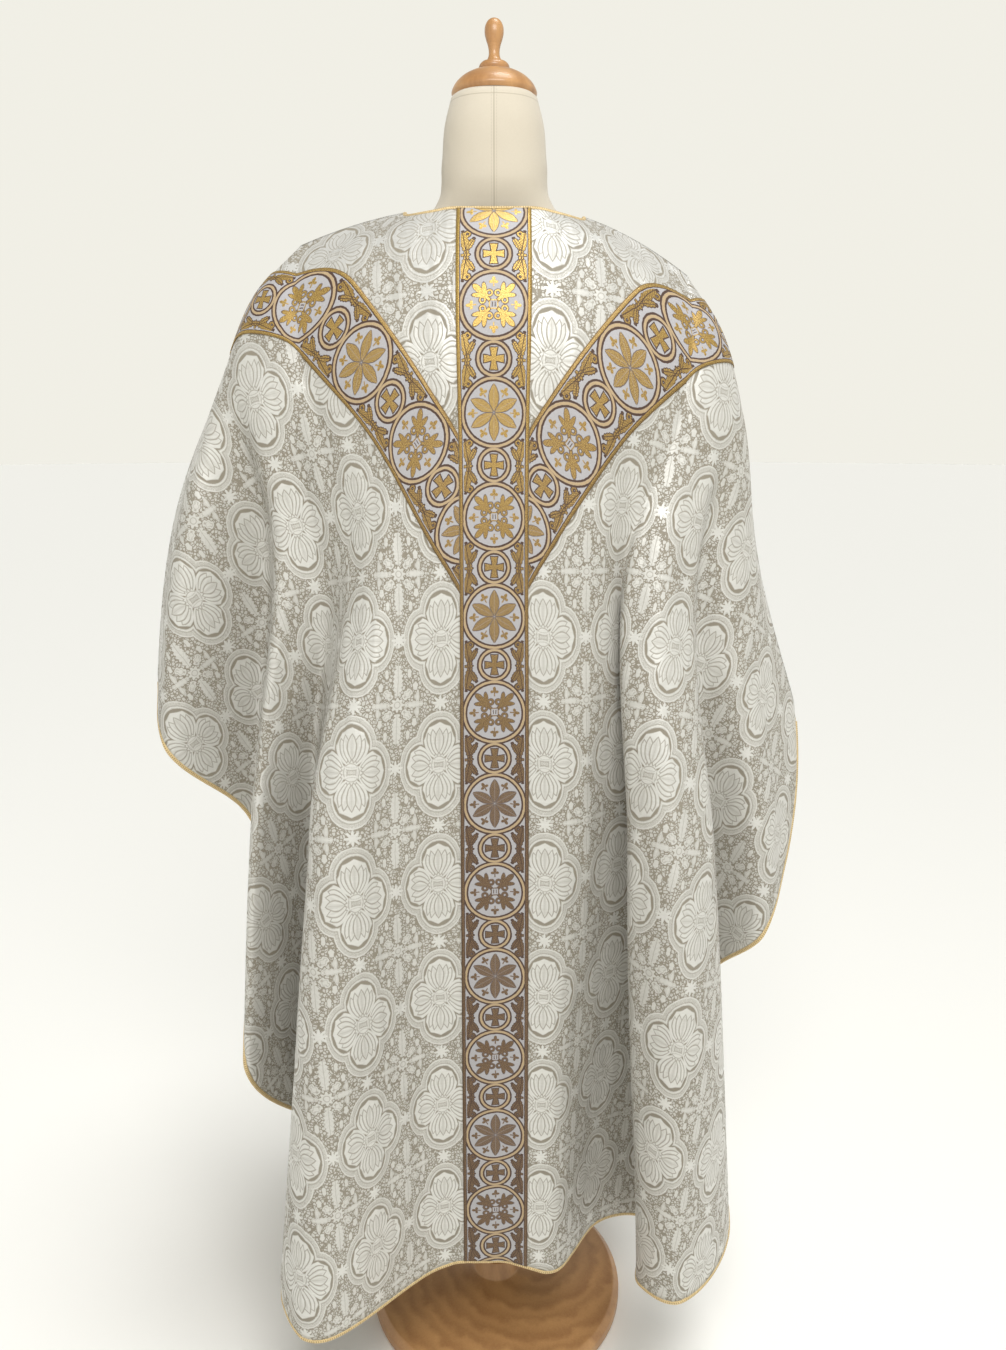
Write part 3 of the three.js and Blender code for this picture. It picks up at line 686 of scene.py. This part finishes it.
class Arm:
    """The middle line of one arm on the flat cloth: straight, eased round, and straight again."""

    def __init__(self, foot, knee, head):
        foot, knee, head = (np.array([p[0], -p[1]], float) for p in (foot, knee, head))
        self.hand = copysign(1, foot[0])
        rise, over = unit(knee - foot), unit(head - knee)
        self.bend = acos(rise @ over)
        tangent = EASE * tan(self.bend / 2)
        self.foot, self.rise, self.over = foot, rise, over
        self.up = np.linalg.norm(knee - foot) - tangent
        self.turn = EASE * self.bend
        out = np.linalg.norm(head - knee) - tangent
        self.length = self.up + self.turn + out
        self.right = np.array([rise[1], -rise[0]])  # to the right of the way up
        self.sense = copysign(1, self.right @ over)
        self.centre = foot + rise * self.up + self.right * self.sense * EASE

    def place(self, across, along):
        """Flat places of points `across` to the right of the middle and `along` from the foot."""
        along = np.asarray(along, float)
        turn = np.clip((along - self.up) / EASE, 0, self.bend)
        before = np.minimum(along - self.up, 0)
        after = np.maximum(along - self.up - self.turn, 0)
        c, s = np.cos(turn), np.sin(turn) * self.sense
        x, y = self.right
        spoke = np.stack([x * c + y * s, y * c - x * s], -1)
        middle = self.centre - spoke * self.sense * EASE
        middle = middle + before[..., None] * self.rise + after[..., None] * self.over
        return middle + spoke * across[..., None]


def galloon_arm(name, drape, arm):
    """The band is a grid along the arm, whose foot is cut off at the column's side."""
    rows = 300
    across = np.linspace(-GALLOON_HALF, GALLOON_HALF, GALLOON_LINES)
    spot, uv = np.zeros((2, GALLOON_LINES, rows, 2))
    clear = GALLOON_HALF + 0.4
    route = np.linspace(-120, arm.length + 80, 1200)
    middle = arm.place(np.zeros_like(route), route)
    run = np.diff(drape.read(*from_flat(*middle.T))[0], axis=0)
    length = np.concatenate([[0], np.cumsum(np.linalg.norm(run, axis=1))]) / MM
    length = (length - np.interp(0, route, length)) * ARM_EASE
    for n, s in enumerate(across):
        tries = np.linspace(-200, 300, 2001)
        x = arm.place(np.full_like(tries, s), tries)[:, 0] * arm.hand
        first = tries[np.argmax(x >= clear)]
        far = np.linspace(0, arm.length + 60, 1400)
        spots = arm.place(np.full_like(far, s), far)
        # The band is cut off where its line meets the shoulder seam, out to the wing's own edge.
        a, t = from_flat(*spots.T)
        spare = 0.4 * FAN_REACH / np.maximum(t, 1)
        on_panel = (spots[:, 1] <= -0.5) & (a > drape.first + spare) & (a < drape.last - spare)
        last = far[np.argmin(on_panel) - 1]
        along = np.linspace(first, last, rows)
        spot[n] = arm.place(np.full_like(along, s), along)
        uv[n, :, 0], uv[n, :, 1] = s, np.interp(along, route, length)
    a, t = from_flat(spot[..., 0], spot[..., 1])
    # Rows run up the arm, so the columns are taken from right to left to face out.
    uv = uv[::-1].reshape(-1, 2) * MM
    return shell(name, drape, a[::-1], t[::-1], LAY, LAY + GALLOON_WALL, uv, "galloon")


ARMS = [
    ("back", BACK, "left", Arm((-41, 418), (-206, 104), (-290, 66))),
    ("back", BACK, "right", Arm((41, 414), (206, 100), (270, 66))),
    ("front", FRONT, "left", Arm((-41, 430), (-206, 104), (-290, 66))),
    ("front", FRONT, "right", Arm((41, 430), (206, 100), (270, 66))),
]
galloons = []
for where, drape, depth in (("back", BACK, BACK_NECK), ("front", FRONT, FRONT_NECK)):
    strip = galloon_column(f"{where}_galloon_column", drape, depth)
    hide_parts(f"{where}_orphrey_column")
    galloons.append(strip)
for where, drape, hand, arm in ARMS:
    strip = galloon_arm(f"{where}_galloon_arm_{hand}", drape, arm)
    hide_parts(f"{where}_orphrey_arm_{hand}")
    galloons.append(strip)

# The woven pattern repeats every 226 mm: a large roundel with a six-leaved rosette and one with four
# lilies, each between small roundels that hold a cross, all linked by one banded line.
PITCH = 113
FIRST_CROSS = {"column": 140, "left": 38, "right": 33.6}
# Painted shade: the gold thread and its painted glints are bright at the top and painted a dull brown
# lower down, standing in for the dimmer light there; the colour changes between these two places
# along the band, in mm.
PAINTED_SHADE_SPAN = {"column": (120, 760), "left": (700, -500), "right": (700, -500)}


def roundels(name, first_cross, shade_span):
    material, shader, place = new_material(name, "galloon")
    across, down, _ = parts(shaken(place.scaled((1000, 1000, 0)), place, 320.0, 2.0, 1.1))
    x, s = abs(across), down - first_cross
    to_cross = s.fold(PITCH / 2)
    k = (s / PITCH).maths("FLOOR")
    lilies = inside(k.fold(1) - 0.5, 0.1)
    y = (s - k * PITCH) - PITCH / 2
    far = abs(y) * 0.985
    # Painted shade: 0 at the top and 1 lower down, it darkens the gold's colour, thins its painted
    # glints and lowers its metal shine.
    painted_shade_lower = s + (first_cross - shade_span[0])
    painted_shade_lower = painted_shade_lower.maths("DIVIDE", shade_span[1] - shade_span[0], use_clamp=True)
    r_big = reach(x, far)
    r_small = reach(x, to_cross)

    # The banded line round both kinds of roundel.
    path = abs(r_big - 35.7).least(abs(r_small - 17.4))
    band = inside(path - 1.5)
    outline = stroke(path - 2.45, 1.05)
    in_big, in_small = inside(r_big - 32.4, 0.4), inside(r_small - 14.1, 0.4)

    # Rosette: six long leaves, and a small trefoil between each two.
    turn = x.angle(y)
    sixth = turn.fold(pi / 6)
    along, off = r_big * sixth.cosine(), r_big * sixth.sine()
    bow = (along - 15.8) / 14.6
    leaf = off - 5.7 * (1 - bow * bow)
    side_veins = (along - off * 1.2).fold(1.3) - 0.2
    vein = stroke(off, 0.3, 0.5).most(stroke(side_veins, 0.15, 0.5) * 0.55)
    rest = pi / 6 - sixth
    along, off = r_big * rest.cosine(), r_big * rest.sine()

    def trefoil(along, off):
        tip = oval(along - 27, off, 3.1, 1.9).least(oval(along - 24, off - 2.7, 1.7, 2.2))
        return tip.least((off - 0.7).most(abs(along - 22) - 3.4))

    rosette = inside(leaf, 0.6) * (1 - vein * 0.4)
    rosette = rosette.most(inside(trefoil(along, off), 0.6))
    leaf_edge = stroke(leaf - 0.2, 0.45) * inside(r_big - 30, 0.4)

    # Lilies on the diagonals about a small square, with trefoils on the upright and level lines.
    quarter = turn.fold(pi / 4)
    rest = pi / 4 - quarter
    along, off = r_big * rest.cosine() * 0.92, r_big * rest.sine() * 0.88
    heart = oval(along - 22.5, off, 6.6, 2.9)
    wing_a, wing_o = turned(along - 17.5, off - 4.2, 38)
    wing = oval(wing_a, wing_o, 6.2, 2.3)
    scroll = abs(reach(along - 10.8, off - 4.6) - 2.6) - 1.0
    stem = (off - 1.5).most(abs(along - 11) - 5.5)
    lily = heart.least(wing).least(scroll).least(stem)
    along, off = r_big * quarter.cosine(), r_big * quarter.sine()
    block = x.most(abs(y))
    marks = stroke(x - 1.5, 0.5, 0.5) * inside(abs(y) - 2.6)
    lily_gold = inside(lily.least(trefoil(along, off)), 0.6).most(stroke(block - 4.5, 0.7, 0.5))

    # Cross with widening arms.
    upright = (x - 2.0 - to_cross * 0.19).most(to_cross - 11.6)
    level = (to_cross - 2.0 - x * 0.19).most(x - 11.2)
    cross = upright.least(level)

    # Curled leaves and a knot in the corners between the roundels and the borders.
    la, lo = turned(x - 31.2, to_cross - 15, -10)
    long_leaf = oval(la, lo, 4.3, 13.5) - (lo * 1.35).sine() * 0.8
    ca, co = turned(x - 25.0, to_cross - 12.5, 30)
    short_leaf = oval(ca, co, 3.0, 7.6) - (co * 1.7).sine() * 0.5
    hook = abs(reach(x - 28.5, to_cross - 25) - 2.6) - 1.2
    knot_x = x - 30.8
    knot_turn = knot_x.angle(to_cross) * 4
    knot = reach(knot_x, to_cross) - 3.6 - knot_turn.cosine() * 1.7
    corner = long_leaf.least(short_leaf).least(hook).least(knot)
    slanted = stroke((lo - la * 1.5).fold(1.9), 0.4)
    corner_veins = stroke(la - 0.6, 0.45).most(stroke(ca + 0.3, 0.4))
    corner_veins = corner_veins.most(stroke(short_leaf, 0.5)).most(stroke(knot, 0.5))
    corner_veins = corner_veins.most(slanted * 0.7)
    corner_gold = inside(corner)
    corner_line = stroke(corner - 0.4, 0.65).most(corner_veins * corner_gold)

    gold_in = rosette + (lily_gold - rosette) * lilies
    open_corner = inside(3.3 - path, 0.4) * inside(x - 35.6, 0.4) * (1 - in_big) * (1 - in_small)
    border = inside(36.9 - x)
    gold = (corner_gold * open_corner).most(gold_in * in_big)
    gold = gold.most(inside(cross) * in_small).most(border)
    dark = outline.most(corner_line * open_corner)
    edge = leaf_edge + (stroke(lily - 0.15, 0.42) - leaf_edge) * lilies
    dark = dark.most(edge * in_big * 0.75)
    dark = dark.most(stroke(cross - 0.45, 0.55) * in_small).most(marks * lilies * in_big)
    stitch = inside(s.fold(1.6) - 1.1, 0.4) * stroke(x - 39.2, 0.22)
    dark = (dark * inside(x - 36.7)).most(stroke(x - 36.9, 0.5))
    dark = dark.most(stroke(x - 40.6, 0.3, 0.5) * 0.7).most(stitch * 0.55)

    # Painted highlights: where this fine noise is high, bright gold glints are painted into the
    # thread's colour; the thread's base colour under them is painted darker lower down as shade.
    spark = grain(place, 1500.0, 1.0, 0.7)
    painted_glint = inside(0.55 + painted_shade_lower * 0.03 - spark, 0.10)
    float_yarn = grain(place, 700.0, 1.0, stretch=(3.0, 0.7, 1))
    colour = mix(float_yarn, (0.30, 0.29, 0.30, 1), (0.47, 0.46, 0.475, 1))
    thread_with_painted_light = mix(painted_shade_lower, (0.34, 0.20, 0.045, 1), (0.10, 0.056, 0.030, 1))
    painted_glint_colour = mix(painted_shade_lower, (0.90, 0.66, 0.20, 1), (0.29, 0.19, 0.09, 1))
    yarn_gold = mix(painted_glint, thread_with_painted_light, painted_glint_colour)
    band_colour = mix(float_yarn, (0.33, 0.23, 0.125, 1), (0.50, 0.38, 0.23, 1))
    colour = mix(gold, colour, yarn_gold)
    colour = mix(band, colour, band_colour)
    colour = mix(dark, colour, (0.06, 0.030, 0.019, 1))
    height = gold * 0.6 + band * 0.5 + float_yarn * 0.3 + spark * 0.5 - dark * 0.3
    shine = gold * (1 - band) * (1 - dark) * (1 - painted_shade_lower * 0.85)
    feed(
        shader,
        Base_Color=colour,
        Metallic=shine * 0.62,
        Roughness=0.62 - shine * 0.26 + float_yarn * 0.06,
        Normal=height.bump(0.55, 0.0005),
    )
    return material


column_pattern = roundels("galloon_column", FIRST_CROSS["column"], PAINTED_SHADE_SPAN["column"])
arm_pattern = {h: roundels(f"galloon_arm_{h}", FIRST_CROSS[h], PAINTED_SHADE_SPAN[h]) for h in ("left", "right")}
for strip in galloons:
    strip.data.materials.append(arm_pattern.get(strip.name.split("_")[-1], column_pattern))


# ---- The piping ----
# A narrow antique-gold braid that binds the whole outer edge and the neckline. It is folded over the
# raw edge and stitched down, so it stands a little proud of the cloth.
PIPING_WIDTH = 5.4
PIPING_THICK = 3.2
NECK_THICK = 4.8  # the braid stands thicker round the neckline
PIPING_SIDES = 10


def tube_faces(rings, sides, closed):
    """Quads from each ring of points to the next, with a face at both ends of an open tube."""
    i, k = np.meshgrid(np.arange(rings if closed else rings - 1), np.arange(sides), indexing="ij")
    i, k = i.ravel(), k.ravel()
    m, n = (k + 1) % sides, (i + 1) % rings
    faces = list(np.stack([i, i, n, n], 1) * sides + np.stack([k, m, m, k], 1))
    if not closed:
        faces.append(range(sides)[::-1])
        faces.append(range((rings - 1) * sides, rings * sides))
    return faces


def binding(name, points, normals, closed, outward, thickness=PIPING_THICK):
    """A flat tube just beyond an edge; points in metres, `outward` tells which side is beyond."""
    if closed:
        run = np.roll(points, -1, 0) - np.roll(points, 1, 0)
    else:
        run = np.gradient(points, axis=0)
    run = unit(run)
    wide = unit(np.cross(run, normals)) * outward
    thick = unit(np.cross(run, wide))
    centre = points + wide * (PIPING_WIDTH / 2 - 0.4) * MM
    turn = np.arange(PIPING_SIDES)[:, None] / PIPING_SIDES * 2 * pi
    ring = centre[:, None] + wide[:, None] * (np.cos(turn) * PIPING_WIDTH / 2 * MM)
    ring += thick[:, None] * (np.sin(turn) * thickness / 2 * MM)
    count = len(points)
    along = np.concatenate([[0], np.cumsum(np.linalg.norm(np.diff(points, axis=0), axis=1))])
    uv = np.stack(np.broadcast_arrays(turn[:, 0] / (2 * pi), along[:, None]), -1)
    faces = tube_faces(count, PIPING_SIDES, closed)
    return make_mesh(name, ring.reshape(-1, 3), faces, uv.reshape(-1, 2), "braid")


def edge_piping(name, drape):
    a = np.linspace(drape.first + 14, drape.last - 14, 1100)
    points, normals, _ = drape.read(a, drape.edge(a))
    return binding(name, points, normals, False, -drape.side)


back_braid = edge_piping("back_braid", BACK)
front_braid = edge_piping("front_braid", FRONT)
turn = np.linspace(-pi / 2, pi / 2, 121)
neck_a = NECK_HALF * np.sin(turn)
back_neck = BACK.read(neck_a, BACK_NECK * np.cos(turn))
front_neck = FRONT.read(neck_a, FRONT_NECK * np.cos(turn))
neck_points = np.concatenate([back_neck[0], front_neck[0][-2:0:-1]])
neck_normals = np.concatenate([back_neck[1], front_neck[1][-2:0:-1]])
# The braid is eased over the shoulder seams, where the two halves of the neckline meet.
neck_points, neck_normals = (
    sum(np.roll(rows, k, 0) for k in range(-reach_out, reach_out + 1)) / (2 * reach_out + 1)
    for rows, reach_out in ((neck_points, 2), (neck_normals, 6))
)
neck_braid = binding("neck_braid", neck_points, unit(neck_normals), True, -1, NECK_THICK)

braid_finish, shader, place = new_material("gold_braid", "braid")
around, length, _ = parts(place)
strand = (length * 2300 + around * 12.6).sine()
cross_strand = (length * 2300 - around * 12.6).sine()
plait = strand.most(cross_strand)
fleck = grain(place, 300.0, 2.0, stretch=(0.004, 1, 1))
tone = plait.maths("MULTIPLY_ADD", 0.35, 0.55, use_clamp=True)
tone = tone * fleck.maths("MULTIPLY_ADD", 0.8, 0.6)
feed(
    shader,
    Base_Color=mix(tone, (0.27, 0.17, 0.07, 1), (0.80, 0.62, 0.33, 1)),
    Metallic=0.35,
    Roughness=0.5 - plait * 0.1,
    Normal=plait.bump(0.6, 0.0006),
)
for braid, node in (
    (back_braid, "back_edge_piping"),
    (front_braid, "front_edge_piping"),
    (neck_braid, "neck_piping"),
):
    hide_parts(node)
    braid.data.materials.append(braid_finish)

# For both panels, the cut cloth's flat area is worked out from its map and capped at its sheet's
# size; the result is not kept.
for cloth, braid, strips, size in (
    (back_cloth, back_braid, galloons[0:1] + galloons[2:4], (1.31, 1.433)),
    (front_cloth, front_braid, galloons[1:2] + galloons[4:6], (1.181, 1.412)),
):
    min(flat_area(cloth), size[0] * size[1])


# ---- The dress form ----
# The limbless form that the garment stands on: a padded torso under a stretched ecru jersey, seamed
# down the back and front. Its neck is closed by a turned wooden cap and finial, and a pole carries it
# on a round wooden foot.
TORSO_RINGS = [  # height, half width, and depth behind and before the middle, in mm
    (760, 158, 96, 100),
    (800, 168, 104, 108),
    (890, 164, 102, 106),
    (1010, 132, 80, 94),
    (1130, 142, 86, 108),
    (1250, 162, 94, 122),
    (1340, 178, 92, 112),
    (1400, 190, 82, 92),
    (1436, 198, 64, 66),
    (1455, 194, 54, 48),
    (1469.4, 177, 50, 44),
    (1484.2, 150, 50, 44),
    (1497.6, 119, 52, 46),
    (1510, 88, 55, 50),
    (1530, 68, 58, 57),
    (1570, 61, 58, 56),
    (1610, 57, 56, 54),
    (1640, 49, 49, 49),
]
TORSO_SIDES = 96
ROUNDNESS = 2.3  # 2 is an ellipse
heights = [[760, 763], np.linspace(770, 1390, 46), np.linspace(1400, 1634, 58), [1637.5, 1640]]
heights = np.concatenate(heights)
rings = np.array(TORSO_RINGS, float)
widths = smooth(rings[:, 0], rings[:, 1:], heights)
# The jersey is kept a little inside the cloth that lies on it.
widths -= np.interp(heights, [760, 1380, 1420, 1525, 1545], [1.5, 1.5, 3, 3, 0])[:, None]
widths[0] -= 5
widths[1] -= 1.5
widths[-1] -= 2.5
around = np.arange(TORSO_SIDES) / TORSO_SIDES * 2 * pi
c, s = (np.sign(k) * np.abs(k) ** (2 / ROUNDNESS) for k in (np.cos(around), np.sin(around)))
depth = np.where(s < 0, widths[:, 1:2], widths[:, 2:3])
body = np.stack(np.broadcast_arrays(widths[:, :1] * c, depth * s, heights[:, None]), -1)
skin = tube_faces(len(heights), TORSO_SIDES, False)
torso = make_mesh("torso_jersey", body.reshape(-1, 3) * MM, skin)
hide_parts("form_torso")

jersey, shader, place = new_material("ecru_jersey", None)
x, y, z = parts(place)
seam = stroke(x, 0.0006, 0.0006)
stitches = inside(z.fold(0.0016) - 0.0010, 0.0004)
beside = stroke(abs(x) - 0.0028, 0.0003, 0.0005) * stitches
neckband = stroke(z - 1.6315, 0.0004, 0.0006)
wales = (z * 5200).sine() * (x.angle(y) * 520).sine()
fuzz = grain(place, 700.0, 3.0)
rubbed = grain(place, 9.0, 3.0)
tone = rubbed * 0.55 + fuzz * 0.3 + wales * 0.06
lines = seam.most(beside * 0.7).most(neckband)
knit = mix(tone, (0.47, 0.42, 0.335, 1), (0.63, 0.575, 0.475, 1))
feed(
    shader,
    Base_Color=mix(lines * 0.55, knit, (0.25, 0.21, 0.15, 1)),
    Roughness=0.86 + fuzz * 0.1,
    Sheen_Weight=0.18,
    Sheen_Roughness=0.5,
    Normal=(wales + fuzz * 0.5 - lines * 2).bump(0.3, 0.0003),
)
torso.data.materials.append(jersey)

# Turned pieces, each a list of radius and height in mm from the bottom up.
CAP = [(47, 0), (49, 4), (47, 10), (40, 18), (28, 25), (17, 28.5)]
FINIAL = [(17, 0), (17.5, 3.5), (14.5, 7.5), (9, 9.5), (7, 13), (7.4, 26)]
FINIAL += [(9.2, 31), (10.8, 38), (10.2, 45), (7, 50.5), (3, 52.8), (0.6, 53)]
POLE = [(16, 64), (16, 747.7), (28, 753.7), (28, 759.7)]
FOOT = [(182, 0), (185, 4), (185, 18), (177, 26), (60, 30), (34, 40), (27, 63.7)]


def turn_wood(name, node, rings, lift, flowing):
    """A disc is drawn up ring by ring as on a lathe; flowing pieces have no corners between rings."""
    rings = np.array(rings, float)
    if flowing:
        way = np.concatenate([[0], np.cumsum(np.hypot(*np.diff(rings, axis=0).T))])
        rings = smooth(way, rings, np.linspace(0, way[-1], 44))
    bpy.ops.object.select_all(action="DESELECT")
    radius, height = rings[0]
    bpy.ops.mesh.primitive_circle_add(
        vertices=80, radius=radius * MM, fill_type="NGON", location=(0, 0, (height + lift) * MM)
    )
    piece = bpy.context.object
    piece.name = piece.data.name = name
    bpy.ops.object.transform_apply(location=True)
    bpy.ops.object.mode_set(mode="EDIT")
    bpy.ops.mesh.select_all(action="SELECT")
    for (r0, h0), (r1, h1) in zip(rings, rings[1:]):
        bpy.ops.mesh.extrude_region_move(TRANSFORM_OT_translate={"value": (0, 0, (h1 - h0) * MM)})
        bpy.ops.transform.resize(value=(r1 / r0, r1 / r0, 1), center_override=(0, 0, 0))
    bpy.ops.mesh.select_all(action="SELECT")
    bpy.ops.mesh.remove_doubles(threshold=1e-6)
    bpy.ops.mesh.normals_make_consistent(inside=False)
    bpy.ops.object.mode_set(mode="OBJECT")
    if not flowing:
        rounding = piece.modifiers.new("rounding", "BEVEL")
        rounding.width, rounding.segments, rounding.limit_method = 0.0016, 3, "ANGLE"
        rounding.angle_limit = radians(20)
        bpy.ops.object.modifier_apply(modifier="rounding")
    bpy.ops.object.shade_smooth_by_angle(angle=radians(40))
    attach(piece, "root")
    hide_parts(node)
    return piece


wood, shader, place = new_material("honey_wood", None)
x, y, z = parts(place)
drift = grain(place, 28.0, 3.0, stretch=(1, 1, 0.07))
rings_of_wood = (reach(x - 0.05, y - 0.03) * 260 + drift * 9).sine()
pores = grain(place, 420.0, 3.0, 0.6, (1, 1, 0.05))
turning = (z * 1900).sine() * 0.5 + 0.5
shade = rings_of_wood * 0.11 + drift * 0.55 + pores * 0.35
feed(
    shader,
    Base_Color=mix(shade, (0.235, 0.098, 0.032, 1), (0.60, 0.335, 0.13, 1)),
    Roughness=0.34 + pores * 0.16,
    Coat_Weight=0.35,
    Coat_Roughness=0.18,
    Normal=(pores + turning * 0.25).bump(0.25, 0.0004),
)
for name, node, rings, lift, flowing in (
    ("wooden_cap", "neck_cap", CAP, 1640.3, True),
    ("wooden_finial", "finial", FINIAL, 1669.1, True),
    ("wooden_pole", "pole", POLE, 0, False),
    ("wooden_foot", "base", FOOT, 0, False),
):
    turn_wood(name, node, rings, lift, flowing).data.materials.append(wood)


# ---- Floor, lights and camera ----
# A plain pale floor that runs out to the same pale surround, broad soft lamps, and the camera.
bpy.ops.mesh.primitive_circle_add(vertices=96, radius=40, fill_type="NGON", location=(0, 0, -0.0005))
floor = bpy.context.object
floor.name = "floor"
paper, shader, _ = new_material("pale_paper", None)
feed(shader, Base_Color=(0.92, 0.904, 0.86, 1), Roughness=0.95)
floor.data.materials.append(paper)

# The surround is pale near the horizon and dimmer overhead, so that the folds keep their shade.
world = bpy.data.worlds.new("pale_surround")
bpy.context.scene.world = world
world.use_nodes = True
sky = world.node_tree.nodes
heading = Wire(sky.new("ShaderNodeTexCoord").outputs["Generated"])
overhead = parts(heading)[2].maths("MULTIPLY_ADD", 3.0, -1.15, use_clamp=True)
glow = mix(overhead, (0.88, 0.865, 0.79, 1), (0.20, 0.20, 0.20, 1))
feed(sky["Background"], Color=glow, Strength=1.0)
bpy.context.scene.view_settings.view_transform = "Standard"


def lamp(name, kind, power, colour, place, target, **settings):
    """A lamp at `place` that shines towards `target`."""
    light = bpy.data.lights.new(name, kind)
    light.energy, light.color = power, colour
    for key, value in settings.items():
        setattr(light, key, value)
    item = add_object(name, light)
    item.location = place
    aim = Vector(target) - Vector(place)
    item.rotation_euler = aim.to_track_quat("-Z", "Y").to_euler()


box = {"shape": "RECTANGLE", "size": 1.0, "size_y": 0.7}
lamp("top", "SUN", 1.85, (0.97, 0.99, 1), (0, 0, 0), (-0.22, 0.10, -1), angle=radians(30))
lamp("front_box", "AREA", 23, (1, 0.99, 0.975), (0.15, -1.45, 2.35), (0, -0.1, 1.25), **box)

view = bpy.data.cameras.new("camera")
view.lens, view.sensor_width, view.sensor_fit = 26.99, 36, "AUTO"
camera = add_object("camera", view)
camera.location = (0.010, -1.284, 1.273)
camera.rotation_euler = (radians(76.3), 0, 0)
bpy.context.scene.camera = camera

bpy.context.view_layer.update()
